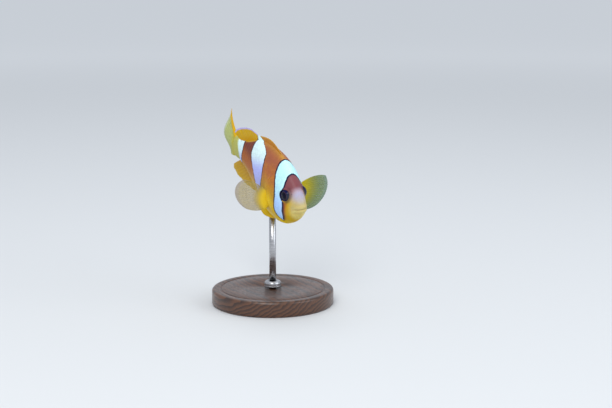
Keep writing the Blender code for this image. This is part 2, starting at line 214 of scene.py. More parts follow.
def grid_faces(rows, columns, around=False):
    """Quads over a grid of points held row by row; around joins the last column to the first."""
    index = np.arange(rows * columns).reshape(rows, columns)
    ahead = np.roll(index, -1, 1) if around else index[:, 1:]
    here = index if around else index[:, :-1]
    return np.stack((here[:-1], here[1:], ahead[1:], ahead[:-1]), -1).reshape(-1, 4)


def ball_faces(rings, around):
    """Quads between closed rings, and a fan over each end to its own point, which come last."""
    column = np.arange(around)
    following = (column + 1) % around
    first, low = np.full(around, rings * around), (rings - 1) * around
    faces = grid_faces(rings, around, around=True).tolist()
    faces += np.stack((first, column, following), -1).tolist()
    return faces + np.stack((first + 1, low + following, low + column), -1).tolist()


def sheet_faces(rows, columns):
    """A closed sheet over two grids of points, the upper before the lower, with a wall round their rims."""
    count = rows * columns
    faces = grid_faces(rows, columns)
    index = np.arange(count).reshape(rows, columns)
    rim = np.concatenate((index[:, 0], index[-1, 1:], index[-2::-1, -1], index[0, -2:0:-1]))
    after = np.roll(rim, -1)
    wall = np.stack((after, rim, rim + count, after + count), -1)
    return np.concatenate((faces, faces[:, ::-1] + count, wall))


def add_object(name, data):
    """A new object in the scene."""
    made = bpy.data.objects.new(name, data)
    bpy.context.scene.collection.objects.link(made)
    return made


def add_piece(name, points, faces, finish, nodes, marks=None, patches=None):
    """A finished, smooth piece riding on the root body.

    marks are named arrays with a value for each point, and patches is a UV place for each point."""
    mesh = bpy.data.meshes.new(name)
    mesh.from_pydata(points.reshape(-1, 3).tolist(), [], faces if isinstance(faces, list) else faces.tolist())
    for label, values in (marks or {}).items():
        values = np.asarray(values, np.float32)
        kind, field = {3: ("FLOAT_VECTOR", "vector"), 4: ("FLOAT_COLOR", "color")}[values.shape[-1]]
        mesh.attributes.new(label, kind, "POINT").data.foreach_set(field, values.ravel())
    if patches is not None:
        corners = np.empty(len(mesh.loops), np.int32)
        mesh.loops.foreach_get("vertex_index", corners)
        layer = mesh.uv_layers.new(name="OFBake")
        layer.data.foreach_set("uv", patches.reshape(-1, 2)[corners].astype(np.float32).ravel())
    mesh.validate()
    mesh.shade_smooth()
    mesh.materials.append(finish)
    piece = add_object(name, mesh)
    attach(piece, "root")
    if nodes:
        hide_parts(*nodes)
    return piece


# -------- the body's surface
def hull(root_s, turn):
    """The body without its folds: at each place along it a half oval above and one below the widest line.

    root_s is the root of s, and turn runs from the top towards the left side: the breadth goes with its
    sine raised to 1.12, the height with its cosine, and both close the end as a quarter circle does."""
    s = root_s * root_s
    level = along(WIDEST, s)
    close = np.sqrt(np.maximum(0.0, 1 - eased(0.985, BODY_END, s) ** 2))
    side, rise = np.sin(turn), np.cos(turn)
    reach = np.where(rise > 0, along(BACK, s) - level, level - along(BELLY, s))
    y = along(BREADTH, s) * close * side * np.abs(side) ** 0.12
    return np.stack(np.broadcast_arrays(s, y, level + reach * close * rise), -1)


def hull_normal(root_s, turn):
    """Outward, from the cross product of two small steps over the hull."""
    tiny = 1e-4
    back = hull(root_s + tiny, turn) - hull(root_s - tiny, turn)
    round_ = hull(root_s, turn + 10 * tiny) - hull(root_s, turn - 10 * tiny)
    return unit(np.cross(back, round_))


def off_eye(p):
    """How far a place lies from the middle of the eye's opening, seen from the side."""
    return np.hypot(p[..., 0] - SOCKET_AT[0], p[..., 2] - SOCKET_AT[2])


def relief(p):
    """How far the folds of the skin stand out from the hull, in body lengths, as a sum of bells."""
    s, y, z = p[..., 0], p[..., 1], p[..., 2]
    side = np.abs(y)
    # lips: two rolls either side of the mouth's groove, ending at its corners
    above = z - MOUTH_AT - MOUTH_TILT * s
    lip = 1 - eased(0.026, 0.056, s)
    rise = lip * (0.0018 * hill(above, 0.014, 0.011) + 0.0024 * hill(above, -0.015, 0.012))
    rise -= (1 - eased(0.024, 0.046, s)) * 0.0070 * hill(above, 0.0, 0.0034)
    rise -= (1 - eased(0.030, 0.075, s)) * 0.0012 * hill(above, 0.034, 0.007)
    rise -= (1 - eased(0.040, 0.085, s)) * 0.0014 * hill(above, -0.038, 0.008)
    # the fold behind the mouth's corner
    fold = hill(s - 0.25 * (0.01 - z), 0.058, 0.006) * hill(z, -0.028, 0.026)
    rise -= 0.0022 * fold * eased(0.02, 0.04, side)
    # nostrils, one small pit a side, each with a low rim
    nostril = np.hypot(s - 0.082, z - 0.088)
    pit = 0.0022 * hill(nostril, 0.0065, 0.003) - 0.006 * hill(nostril, 0.0, 0.0038)
    rise += eased(0.02, 0.03, side) * pit
    # the eye's socket and the soft rim round it
    away = off_eye(p)
    outer = eased(0.015, 0.035, side)
    rise += outer * (0.0040 * hill(away, 0.0435, 0.0055) - 0.024 * (1 - eased(0.025, 0.0375, away)))
    rise -= outer * 0.0014 * hill(away, 0.053, 0.004)
    # cheek: a groove ahead of the gill cover, and its free rear edge
    cheek = s - through(CHEEK_EDGE, z)
    band = eased(-0.185, -0.150, z) * (1 - eased(0.085, 0.125, z))
    rise += band * outer * (0.0022 * hill(cheek, -0.008, 0.008) - 0.0040 * hill(cheek, 0.002, 0.0042))
    gill = s - through(GILL_EDGE, z)
    band = eased(-0.215, -0.180, z) * (1 - eased(0.115, 0.150, z))
    rise += band * outer * (0.0055 * eased(-0.05, -0.008, gill) * (1 - eased(-0.003, 0.003, gill)))
    rise -= band * outer * 0.0060 * hill(gill, 0.0055, 0.0045)
    # the muscle at the root of each pectoral fin
    root = ((s - PECTORAL_ROOT[0] - 0.028) / 0.022) ** 2 + ((z - PECTORAL_ROOT[2]) / 0.048) ** 2
    rise += outer * 0.0085 * np.exp(-root)
    # sheaths along the roots of the fins on the back and the belly
    middle = hill(y, 0.0, 0.016)
    rise += np.where(z > 0, 0.0050 * eased(0.285, 0.32, s) * (1 - eased(0.88, 0.93, s)) * middle, 0.0)
    rise += np.where(z < 0, 0.0055 * eased(0.62, 0.66, s) * (1 - eased(0.87, 0.92, s)) * middle, 0.0)
    # the side line: a low ridge of pored scales under the back
    side_line = z - through([(0.27, 0.135), (0.40, 0.180), (0.55, 0.172), (0.70, 0.118), (0.84, 0.062)], s)
    rise += 0.0016 * hill(side_line, 0.0, 0.0045) * eased(0.28, 0.31, s) * (1 - eased(0.78, 0.83, s))
    # the fan of muscle at the root of the tail fin, and shallow muscle blocks along the flank
    rise += 0.0035 * hill(s, 0.965, 0.030) * eased(0.3, 0.7, np.abs(z - 0.016) / 0.084)
    blocks = s + 0.35 * np.abs(z - 0.01)
    rise += 0.00045 * np.sin(blocks * 2 * np.pi / 0.038) * eased(0.36, 0.45, s) * (1 - eased(0.90, 0.97, s))
    return rise


def skin_at(root_s, turn, lift=0.0):
    """A place on the skin: the hull moved along its normal by the folds, less the coat, plus lift."""
    p = hull(root_s, turn)
    normal = hull_normal(root_s, turn)
    return p + normal * (relief(p) - COAT + lift)[..., None]


# -------- markings
def bar_depths(p):
    """How far inside each white bar a place lies, in body lengths: the nearer of its two edges.

    The head bar, the middle bar and the tail bar, as a vector."""
    s, z = p[..., 0], p[..., 2]
    bars = (HEAD_BAR, MID_BAR, TAIL_BAR)
    return np.stack([np.minimum(s - through(front, z), through(rear, z) - s) for front, rear in bars], -1)


def under_eye(z, low, high):
    """1 on the strip below the eye and above high, easing to 0 at low and at the eye."""
    return eased(low, high, z) * (1 - eased(0.0, 0.03, z))


def tints(p):
    """Soft weights for the skin's main colours, from 0 to 1: yellow, brown, pale and mauve.

    Yellow rises towards the belly, the jaws, the nape and the soft dorsal's root; brown lies behind the
    middle bar and as a streak under the eye; pale is the snout's patch; mauve the forehead."""
    s, y, z = p[..., 0], p[..., 1], p[..., 2]
    front = 1 - eased(0.17, 0.22, s)
    up = z + 0.40 * (s - 0.06)
    lower = through([(0.20, 0.0), (0.28, 0.02), (0.36, 0.04), (0.46, 0.0), (0.56, -0.04), (0.70, -0.03)], s)
    belly = 1 - eased(-0.100, 0.130, z - lower)
    jaw = front * (1 - eased(0.055, 0.115, up))
    ridge_line = through([(0.64, 0.220), (0.70, 0.188), (0.76, 0.156), (0.86, 0.112), (0.95, 0.085)], s)
    ridge = eased(0.63, 0.66, s) * eased(-0.006, 0.006, z - ridge_line)
    nape = eased(0.25, 0.30, s) * (1 - eased(0.62, 0.66, s)) * hill(y, 0.0, 0.022) * (z > 0) * 0.4
    yellow = np.clip(np.maximum.reduce([belly, jaw, ridge, nape]), 0, 1)
    streak = hill(s, 0.119 - 0.24 * np.minimum(z, 0), 0.020) * under_eye(z, -0.16, -0.08)
    rear = eased(0.58, 0.66, s) * (1 - eased(0.86, 0.90, s)) * eased(-0.085, 0.02, z) * (1 - ridge)
    brown = np.clip(np.maximum(rear, streak), 0, 1)
    pale = front * (1 - eased(0.50, 1.55, np.hypot(y / 0.048, (up - 0.071) / 0.052)))
    mauve = front * eased(0.095, 0.140, up)
    return np.stack((yellow, brown, pale, mauve), -1)


def face_tints(p):
    """Soft weights for the smaller marks: the dusk ahead of the eye and below it, the tan muzzle with its
    lips, the bright muscle at each pectoral fin's root, and the pale end of the stalk."""
    s, y, z = p[..., 0], p[..., 1], p[..., 2]
    dusk = 0.75 * eased(0.015, 0.035, np.abs(y)) * eased(-0.01, 0.03, EYE_AT[0] - s)
    dusk = dusk * (1 - eased(0.040, 0.072, off_eye(p)))
    under = hill(s, through(HEAD_BAR[0], z) - 0.013, 0.009) * under_eye(z, -0.17, -0.12)
    dusk = np.maximum(dusk, 0.85 * under)
    muzzle = (1 - eased(0.045, 0.100, s)) * eased(-0.140, -0.070, z) * (1 - eased(0.010, 0.125, z + 0.4 * s))
    lobe = hill(np.hypot((s - 0.322) / 0.056, (z + 0.060) / 0.052), 0.0, 0.95) * (np.abs(y) > 0.03)
    stalk = eased(-0.012, 0.014, s - through(TAIL_FADE, z))
    return np.stack((dusk, 0.85 * muzzle, lobe, stalk), -1)


def fish_marks(p):
    """What the skin's and the scales' finish reads at each place."""
    return {"rest": p, "bars": bar_depths(p), "tints": tints(p), "face": face_tints(p)}


# -------- finishes
class Finish:
    """A material under construction, with a short word for each kind of node it uses."""

    def __init__(self, name):
        self.material = bpy.data.materials.new(name)
        self.material.use_nodes = True
        self.nodes = self.material.node_tree.nodes
        self.links = self.material.node_tree.links
        self.shader = self.nodes["Principled BSDF"]

    def put(self, socket, value):
        """Links another node's output to a socket, or sets the socket's own value."""
        if isinstance(value, bpy.types.NodeSocket):
            self.links.new(value, socket)
        else:
            socket.default_value = value

    def set(self, **values):
        """Sets the shader's own sockets: words joined by _ name a socket."""
        names = {socket.name.lower().replace(" ", "_"): socket for socket in self.shader.inputs}
        for name, value in values.items():
            self.put(names[name], value)

    def node(self, kind, given):
        """A new node with values or links for its inputs, each told by its name or its place."""
        node = self.nodes.new("ShaderNode" + kind)
        for place, value in given.items():
            self.put(node.inputs[place], value)
        return node

    def place(self):
        """The place on the piece, in metres."""
        return self.node("TexCoord", {}).outputs["Object"]

    def mark(self, name):
        """What one of the mesh's named arrays holds, by kind."""
        node = self.node("Attribute", {})
        node.attribute_name = name
        return node.outputs

    def four(self, name):
        """The four numbers of a colour mark."""
        mark = self.mark(name)
        return *self.node("SeparateColor", {0: mark["Color"]}).outputs, mark["Alpha"]

    def parts(self, vector):
        """The vector's three numbers."""
        return self.node("SeparateXYZ", {0: vector}).outputs

    def math(self, operation, first, second=0.0):
        """One sum on two numbers."""
        node = self.node("Math", {0: first, 1: second})
        node.operation = operation
        return node.outputs[0]

    def step(self, value, low, high, start=0.0, end=1.0):
        """start below low and end above high, smooth between."""
        node = self.node("MapRange", {0: value, 1: low, 2: high, 3: start, 4: end})
        node.interpolation_type = "SMOOTHSTEP"
        return node.outputs[0]

    def mix(self, share, first, second, blend="MIX"):
        """The first colour at share 0 and the second at 1, or their product for MULTIPLY."""
        node = self.node("Mix", {0: share, 6: first, 7: second})
        node.data_type, node.blend_type = "RGBA", blend
        return node.outputs[2]

    def scaled(self, vector, scale):
        """The vector times a number for each axis."""
        node = self.node("VectorMath", {0: vector, 1: scale})
        node.operation = "MULTIPLY"
        return node.outputs[0]

    def distance(self, vector, place):
        """How far the vector is from a fixed place."""
        node = self.node("VectorMath", {0: vector, 1: place})
        node.operation = "DISTANCE"
        return node.outputs["Value"]

    def noise(self, vector, scale, detail=3.0):
        """Soft noise round 0.5, scale lumps to each unit of the vector."""
        return self.node("TexNoise", {"Vector": vector, "Scale": scale, "Detail": detail}).outputs["Fac"]

    def bump(self, height, distance, strength):
        """Tilts the light on the surface as if it rose by height times distance, in metres."""
        node = self.node("Bump", {"Height": height, "Distance": distance, "Strength": strength})
        self.set(normal=node.outputs[0])

    def bar(self, depth):
        """How much of a bar's dark line and of its white lies at a depth inside the bar's edge."""
        return self.step(depth, LINE_FROM, LINE_FULL), self.step(depth, -WHITE_SOFT, WHITE_SOFT)


def colour(red, green, blue):
    """A linear colour from the 0 to 255 values that a screen shows."""
    shown = np.array([red, green, blue]) / 255
    linear = np.where(shown <= 0.04045, shown / 12.92, ((shown + 0.055) / 1.055) ** 2.4)
    return (*linear.tolist(), 1.0)


DUSK = colour(156, 92, 72)
ORANGE = colour(176, 100, 60)
AMBER = colour(190, 120, 50)
YELLOW = colour(210, 172, 18)
BRIGHT = colour(246, 212, 40)
OLIVE = colour(184, 184, 96)
TAN = colour(192, 180, 126)
# Painted light: a lighter tan for the chin, where the jaw faces down into shade.
CHIN_PAINTED_LIGHT = colour(224, 207, 126)
BROWN = colour(118, 54, 34)
RUST = colour(174, 94, 12)
MAUVE = colour(126, 72, 78)
PALE = colour(172, 168, 192)
# The bars' white. The colours for low down are painted shade: bluish and darker where the bars face down.
HEAD_WHITE = colour(193, 242, 249)
HEAD_WHITE_PAINTED_SHADE = colour(176, 211, 254)
WHITE = colour(222, 248, 248)
WHITE_PAINTED_SHADE = colour(182, 190, 254)
LINE = colour(20, 16, 52)
SHADE = (0.66, 0.62, 0.66, 1.0)  # what a scale's darker parts are multiplied by
FILM_SHADE = (0.80, 0.74, 0.62, 1.0)  # the same for the film between a fin's rays


def fish_paint(finish):
    """The fish's colours: body tints first, then each white bar inside its thin dark line, and the pale
    end of the stalk over all. A small wobble from noise keeps the bars' edges from being ruled lines."""
    rest = finish.mark("rest")["Vector"]
    yellow, brown, pale, mauve = finish.four("tints")
    dusk, muzzle, bright, stalk = finish.four("face")
    grain = finish.noise(rest, 130.0, 2.0)
    back, _, height = finish.parts(rest)
    body = finish.mix(finish.step(finish.noise(rest, 26.0), 0.35, 0.68), ORANGE, AMBER)
    body = finish.mix(finish.step(height, 0.13, 0.23, 0.0, 0.7), body, DUSK)
    body = finish.mix(yellow, body, YELLOW)
    # Painted light: the underside low on the belly, which faces down into shade, takes the bright yellow, as
    # the pectoral fins' root muscle does.
    belly_painted_light = finish.step(height, -0.13, -0.20, 0.0, 0.8)
    body = finish.mix(finish.math("MAXIMUM", bright, belly_painted_light), body, BRIGHT)
    body = finish.mix(brown, body, finish.mix(finish.step(height, 0.13, 0.03), BROWN, RUST))
    body = finish.mix(mauve, body, MAUVE)
    body = finish.mix(pale, body, PALE)
    # The muzzle's tan, lighter low down on the chin as painted light.
    body = finish.mix(muzzle, body, finish.mix(finish.step(height, 0.01, -0.05), TAN, CHIN_PAINTED_LIGHT))
    body = finish.mix(finish.step(grain, 0.3, 0.7, 0.0, 0.16), body, BROWN)
    away = finish.distance(finish.scaled(rest, (1.0, 0.0, 1.0)), SOCKET_AT)
    body = finish.mix(finish.math("MAXIMUM", dusk, finish.step(away, *EYE_RIM)), body, LINE)
    wobble = finish.math("MULTIPLY", finish.math("SUBTRACT", finish.noise(rest, 40.0), 0.5), 0.007)
    line, white = 0.0, 0.0
    head, middle, tail = finish.parts(finish.mark("bars")["Vector"])
    head = finish.math("MINIMUM", head, finish.math("SUBTRACT", away, EYE_TO_BAR))
    for depth in (head, middle, tail):
        outer, inner = finish.bar(finish.math("ADD", depth, wobble))
        line, white = finish.math("MAXIMUM", line, outer), finish.math("MAXIMUM", white, inner)
    # Painted shade: each bar's white turns bluish and darker lower down, the middle bar's along a slanting
    # level.
    fore = finish.mix(finish.step(height, -0.03, 0.13), HEAD_WHITE_PAINTED_SHADE, HEAD_WHITE)
    level = finish.math("ADD", height, finish.math("MULTIPLY", finish.math("SUBTRACT", back, 0.5), 0.36))
    aft = finish.mix(finish.step(level, 0.07, 0.20), WHITE_PAINTED_SHADE, WHITE)
    shade = finish.mix(finish.step(back, 0.30, 0.38), fore, aft)
    barred = finish.mix(white, finish.mix(line, body, LINE), shade)
    return finish.mix(stalk, barred, OLIVE), rest


def skin_finish():
    """The fish's colours on bare skin, a little wet and soft."""
    finish = Finish("fish_skin")
    paint, rest = fish_paint(finish)
    finish.set(base_color=paint, roughness=0.42, specular_ior_level=0.14)
    finish.set(coat_weight=0.04, coat_roughness=0.15)
    finish.set(subsurface_weight=0.06, subsurface_scale=0.0006)
    finish.bump(finish.noise(rest, 420.0, 4.0), 0.00002, 0.5)
    return finish.material


def scale_finish():
    """The same colours on the scales: each darkens towards its rear edge and by its own chance."""
    finish = Finish("fish_scales")
    paint, rest = fish_paint(finish)
    back, _, chance = finish.parts(finish.mark("plate")["Vector"])
    darker = finish.mix(1.0, paint, SHADE, "MULTIPLY")
    paint = finish.mix(finish.step(back, 0.72, 1.0, 0.0, 0.45), paint, darker)
    paint = finish.mix(finish.step(chance, 0.0, 1.0, 0.0, 0.22), paint, darker)
    finish.set(base_color=paint, roughness=0.38, specular_ior_level=0.13)
    finish.set(coat_weight=0.04, coat_roughness=0.14)
    finish.bump(finish.noise(rest, 300.0, 2.0), 0.00001, 0.4)
    return finish.material


def fin_finish(
    name, root, blade, edge, clear=1.0, edge_from=0.86, root_to=0.60, margin=None, barred=False,
):
    """A fin: its root's colour runs into the blade's and then the edge's, and margin is the colour of its
    first rays, where they differ. Between its rays it lets some of what is behind it through, more so
    away from the root. clear is the film's least alpha. A barred fin carries the middle bar."""
    root, blade, edge = (colour(*shown) for shown in (root, blade, edge))
    finish = Finish(name)
    across, out, ray = finish.parts(finish.mark("fin")["Vector"])
    tone = finish.noise(finish.mark("rest")["Vector"], 22.0)
    paint = finish.mix(finish.step(out, root_to * 0.3, root_to), root, blade)
    paint = finish.mix(finish.step(out, edge_from - 0.03, edge_from + 0.03), paint, edge)
    solid = 0.0
    if margin:
        solid = finish.step(across, 0.84, 0.93)
        paint = finish.mix(solid, paint, colour(*margin))
    darker = finish.mix(1.0, paint, FILM_SHADE, "MULTIPLY")
    paint = finish.mix(finish.step(ray, 0.75, 0.25, 0.0, 0.55), paint, darker)
    paint = finish.mix(finish.step(tone, 0.35, 0.7, 0.0, 0.25), paint, darker)
    if barred:
        dark, white = finish.bar(finish.parts(finish.mark("bars")["Vector"])[1])
        paint = finish.mix(white, finish.mix(dark, paint, LINE), WHITE)
    if clear < 1.0:
        film = finish.step(out, root_to * 0.4, root_to * 1.1, 1.0, clear)
        drawn = finish.step(ray, 0.2, 0.9, 0.0, min(1.0, clear + 0.30))
        finish.set(alpha=finish.math("MAXIMUM", finish.math("MAXIMUM", film, drawn), solid))
    finish.set(base_color=paint, roughness=0.42, specular_ior_level=0.12)
    joints = finish.math("SINE", finish.math("MULTIPLY", out, 150.0))
    finish.bump(finish.math("MULTIPLY", joints, finish.step(out, 0.3, 0.6)), 0.00001, 0.5)
    return finish.material


def eye_finish():
    """Pupil, a thin gold ring, a dark iris that is olive towards the snout, and a dark rim."""
    finish = Finish("eye")
    radius, ahead, _ = finish.parts(finish.mark("eye")["Vector"])
    fleck = finish.noise(finish.mark("rest")["Vector"], 160.0, 4.0)
    iris = finish.mix(finish.step(ahead, 0.30, 1.0), colour(12, 14, 62), colour(52, 58, 66))
    iris = finish.mix(finish.step(fleck, 0.4, 0.7, 0.0, 0.5), iris, colour(22, 18, 44))
    ring = finish.math("MULTIPLY", finish.step(radius, 0.60, 0.625), finish.step(radius, 0.67, 0.645))
    paint = finish.mix(finish.step(radius, 0.59, 0.62), colour(5, 6, 30), iris)
    paint = finish.mix(finish.math("MULTIPLY", ring, 0.40), paint, colour(110, 76, 38))
    paint = finish.mix(finish.step(radius, 0.88, 0.99), paint, colour(14, 11, 26))
    finish.set(base_color=paint, roughness=0.07, specular_ior_level=0.12)
    return finish.material


def wood_finish():
    """Dark turned wood: yearly rings round a far line along X, warped by noise, with fine pores."""
    finish = Finish("dark_wood")
    place = finish.place()
    reach = finish.distance(finish.scaled(place, (0.0, 1.0, 1.0)), (0.0, 0.034, -0.052))
    warp = finish.noise(finish.scaled(place, (45.0, 170.0, 170.0)), 1.0, 4.0)
    grown = finish.math("ADD", finish.math("MULTIPLY", reach, 720.0), finish.math("MULTIPLY", warp, 3.4))
    rings = finish.math("FRACT", grown)
    pores = finish.noise(finish.scaled(place, (500.0, 6000.0, 6000.0)), 1.0, 2.0)
    late = finish.math("MULTIPLY", finish.step(rings, 0.10, 0.85), finish.step(rings, 1.0, 0.93))
    paint = finish.mix(late, colour(92, 58, 38), colour(54, 32, 22))
    paint = finish.mix(finish.step(pores, 0.58, 0.70, 0.0, 0.75), paint, colour(30, 18, 13))
    finish.set(base_color=paint, roughness=finish.step(pores, 0.4, 0.7, 0.30, 0.48))
    finish.set(coat_weight=0.25, coat_roughness=0.18)
    finish.bump(pores, 0.00003, 0.4)
    return finish.material


def steel_finish():
    """Brushed steel: roughness and a fine bump from noise drawn out round the piece."""
    finish = Finish("brushed_steel")
    place = finish.place()
    lines = finish.noise(finish.scaled(place, (300.0, 300.0, 14000.0)), 1.0, 3.0)
    paint = finish.mix(finish.step(lines, 0.35, 0.65), colour(168, 168, 172), colour(196, 196, 199))
    finish.set(base_color=paint, metallic=1.0, roughness=finish.step(lines, 0.3, 0.7, 0.22, 0.38))
    finish.bump(lines, 0.000004, 0.6)
    return finish.material


# -------- the fish's pieces
def make_skin(finish):
    """One closed skin from snout to tail: rings of hull places, evenly spaced by the root of s.

    The snout starts with a small flat oval, which a few smaller rings fill."""
    root_s = np.sqrt(BODY_END) * np.linspace(0.0, 1.0, SKIN_RINGS + 2)[1:-1, None]
    turn = circle(SKIN_AROUND)
    blunt = hull(root_s[:1], turn) * np.linspace(0.0, 1.0, FRONT_RINGS + 2)[1:-1, None, None]
    blunt[..., 0] = COAT - relief(blunt * (0.0, 1.0, 1.0))
    body = np.concatenate((blunt, skin_at(root_s, turn)))
    ends = np.array([[0.0, 0.0, 0.0], [BODY_END - COAT, 0.0, float(through(WIDEST, BODY_END))]])
    ends[0, 0] = COAT - relief(ends[0])
    p = np.concatenate((body.reshape(-1, 3), ends))
    faces = [face[::-1] for face in ball_faces(FRONT_RINGS + SKIN_RINGS, SKIN_AROUND)]
    nodes = ("head", "lower_jaw", "gill_cover_left", "gill_cover_right", "trunk", "tail_stalk")
    add_piece("skin", pose(p), faces, finish, nodes, fish_marks(p))


def round_share():
    """For places along the fish, the turn at each equal share of the way round from top to bottom: the
    running length of the hull's outline there, read backwards."""
    s, turn = np.linspace(0.10, 1.02, 93), np.linspace(0.0, np.pi, 241)
    outline = hull(np.sqrt(s)[:, None], turn[None, :])
    run = np.cumsum(np.linalg.norm(np.diff(outline, axis=1), axis=-1), axis=1)
    share = np.concatenate((np.zeros((len(s), 1)), run / run[:, -1:]), 1)
    even = np.linspace(0.0, 1.0, 121)
    return s, np.array([np.interp(even, row, turn) for row in share])


ROUND_S, ROUND_TURN = round_share()


def turn_at(s, share):
    """The turn at a share of the way round, read between the worked places on both axes."""
    row = np.clip((s - ROUND_S[0]) / (ROUND_S[1] - ROUND_S[0]), 0, len(ROUND_S) - 1.001)
    column = np.clip(share, 0, 1) * (ROUND_TURN.shape[1] - 1.001)
    i, j = row.astype(int), column.astype(int)
    a, b = row - i, column - j
    upper = ROUND_TURN[i, j] * (1 - b) + ROUND_TURN[i, j + 1] * b
    lower = ROUND_TURN[i + 1, j] * (1 - b) + ROUND_TURN[i + 1, j + 1] * b
    return upper * (1 - a) + lower * a


def scale_roots():
    """Root places of the scales on one side, as tiles: every other column is half a row lower. The
    columns' steps follow a curve, and a band along the gill cover's edge stays bare."""
    s, columns = SCALES_FROM, []
    while s < SCALES_TO:
        columns.append(s)
        s += float(through(SCALE_STEPS, s))
    columns = np.array(columns)
    lower = 0.5 * (np.arange(len(columns)) % 2)
    share = (np.arange(SCALE_ROWS)[None, :] + 0.5 + lower[:, None]) / (SCALE_ROWS + 0.5)
    place = np.broadcast_to(columns[:, None], share.shape)
    step = np.broadcast_to(np.gradient(columns)[:, None], share.shape)
    z = hull(np.sqrt(place), turn_at(place, share))[..., 2]
    behind = place - through(GILL_EDGE, z)
    bare = (behind > GILL_BARE[0]) & (behind < GILL_BARE[1])
    bare = bare & (z > GILL_BARE_HEIGHTS[0]) & (z < GILL_BARE_HEIGHTS[1])
    keep = (share > RIDGE_BARE) & (share < 1 - RIDGE_BARE) & ~bare
    return place[keep], share[keep], step[keep]


def make_scales(finish, side, name):
    """The scales of one side, each a thin closed plate bent to the skin.

    Over a plate, x runs back from its root and v across it from -1 to 1. Its rear edge is rounded by
    drawing the corners forward with v squared, and it rises towards that edge. It has its own small
    square on the UV map, which lies there as the plate lies on the flank."""
    s0, share0, step = scale_roots()
    line = np.linspace(0, 1, SCALE_POINTS)
    x, v = np.meshgrid(line, line * 2 - 1, indexing="ij")
    length = SCALE_LENGTH * step[:, None, None]
    s = s0[:, None, None] - 0.35 * length + length * (x - 0.30 * x * x * v * v)
    share = share0[:, None, None] + v * (SCALE_HALF_WIDTH / (SCALE_ROWS + 0.5)) * (1 - 0.10 * x)
    turn = turn_at(s, share) * side
    jitter = RANDOM.uniform(0.85, 1.15, len(s0))[:, None, None]
    rise = (SCALE_LIFT * x - COAT + 0.0005 * (1 - v * v)) * jitter
    top = skin_at(np.sqrt(s), turn, rise)
    under = skin_at(np.sqrt(s), turn, rise - SCALE_THICK)
    p = np.stack((top, under), 1).reshape(-1, 3)
    plate = sheet_faces(SCALE_POINTS, SCALE_POINTS)[:, ::-side]
    faces = (plate[None] + (np.arange(len(s0)) * 2 * x.size)[:, None, None]).reshape(-1, 4)
    shape = (len(s0), 2, *x.shape)
    root = np.stack((0.5 + side * 0.48 * share0, 0.02 + 0.92 * s0), -1)[:, None, None, None, :]
    local = np.stack((v, x * 2 - 1), -1)[None, None] * 0.0015
    patches = np.broadcast_to(root + local, (*shape, 2))
    chance = RANDOM.uniform(0, 1, len(s0))[:, None, None, None]
    marks = fish_marks(p)
    marks["plate"] = np.stack([np.broadcast_to(part, shape) for part in (x, v, chance)], -1)
    piece = add_piece(name, pose(p), faces, finish, (), marks, patches)
    piece.data.set_sharp_from_angle(angle=math.radians(SCALE_CREASE))


def orientation(p, faces):
    """The sum of the faces' signed volumes, turned positive for faces out: the straight fish's axes are
    left-handed."""
    a, b, c, d = (p[faces[:, i]] for i in range(4))
    return -float((a * (np.cross(b, c) + np.cross(c, d))).sum())


def make_fin(
    name, place, rays, finish, thick=(0.0085, 0.0016), fork=0.5, notch=0.04, wave=0.0, fleshy=0.0,
):
    """A fin as a thin closed sheet with raised rays.

    place(across, out) gives its middle. Each ray is a bell across the fin, split in two beyond fork; the
    sheet's half thickness falls from root to edge, the edge is notched between the rays, and wave is a
    slight ripple. thick is the half thickness at the root and at the edge, in body lengths, and fleshy is
    what the last rays have more."""
    across = np.linspace(0, 1, rays * RAY_POINTS + 1)[:, None]
    out = np.linspace(0, 1, FIN_STEPS)[None, :]
    phase = np.abs((across * rays) % 1.0 - 0.5)
    split = 0.24 * eased(fork, 1.0, out)
    ray = hill(phase, split, 0.11) + 0 * out
    trim = 1 - notch * (0.5 - 0.5 * np.cos(2 * np.pi * phase)) * out**3
    middle = np.stack(place(across + 0 * out, out * trim), -1)
    middle[..., 1] += wave * np.sin(across * rays * 2.1) * out * out
    normal = unit(np.cross(np.gradient(middle, axis=0), np.gradient(middle, axis=1)))
    film = thick[1] + (thick[0] - thick[1]) * (1 - out) ** 3
    film = film + fleshy * hill(across, 0.97, 0.06) * (1 - 0.8 * out)
    border = np.minimum(1.0, 0.35 + 10 * np.minimum(np.minimum(across, 1 - across), 1 - out))
    half = (film * (0.45 + 0.75 * ray * (1 - 0.35 * out)) * border)[..., None]
    p = np.stack((middle + normal * half, middle - normal * half))
    faces = sheet_faces(across.size, FIN_STEPS)
    fin = np.stack([np.broadcast_to(part, p.shape[:-1]) for part in (across, out, ray)], -1)
    if orientation(p.reshape(-1, 3), faces) < 0:
        faces = faces[:, ::-1]
    marks = {"rest": p, "bars": bar_depths(p), "fin": fin}
    add_piece(name, pose(p), faces, finish, (name,), marks)


# -------- fins, as in the solids
def between(root, edge, curve=0.0):
    """Rays from a root's line to an edge's line in the fish's middle plane, bowed back by curve."""

    def place(across, out):
        """From the root at out 0 to the edge at out 1."""
        (s0, z0), (s1, z1) = root(across), edge(across)
        return s0 + (s1 - s0) * out + curve * out * (1 - out), 0 * out, z0 + (z1 - z0) * out

    return place


def line_through(points):
    """A smooth line of (s, height) through evenly shared points."""
    shares = np.linspace(0.0, 1.0, len(points))
    s, z = zip(*points)
    return lambda t: (through(list(zip(shares, s)), t), through(list(zip(shares, z)), t))


def root_line(first, last, outline, depth):
    """A root line sunk by depth under the back's or the belly's outline."""
    return lambda t: (first + (last - first) * t, along(outline, first + (last - first) * t) - depth)


